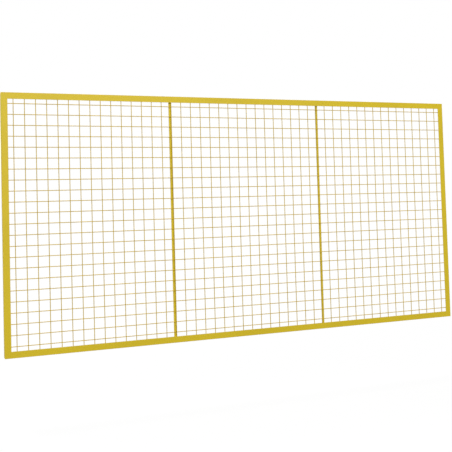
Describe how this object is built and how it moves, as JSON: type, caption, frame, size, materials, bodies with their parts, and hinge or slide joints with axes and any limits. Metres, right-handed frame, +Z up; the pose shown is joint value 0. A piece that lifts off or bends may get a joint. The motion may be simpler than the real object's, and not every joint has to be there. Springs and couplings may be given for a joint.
{
  "type": "machine guard fence panel",
  "caption": "Rectangular machine guard fence panel: mitred angle frame, square welded wire mesh behind its front flange and flat stiffener bars behind the mesh.",
  "frame": {"origin": "centre of the left stile's outer side face, half way up and half way through the frame's depth", "axes": "+X along the panel's length from the left stile to the right one, +Y from the front face to the back, +Z up"},
  "size_m": [2.41, 0.03, 1.2],
  "materials": {
    "frame_paint": "satin yellow powder coat on hot-rolled angle",
    "stiffener_paint": "satin yellow powder coat on flat bar",
    "mesh_paint": "satin yellow powder coat on welded wire"
  },
  "bodies": {
    "root": {"top_rail": "frame_paint", "bottom_rail": "frame_paint", "left_stile": "frame_paint", "right_stile": "frame_paint", "left_stiffener": "stiffener_paint", "right_stiffener": "stiffener_paint", "mesh_left_bay": "mesh_paint", "mesh_middle_bay": "mesh_paint", "mesh_right_bay": "mesh_paint"}
  },
  "joints": []
}
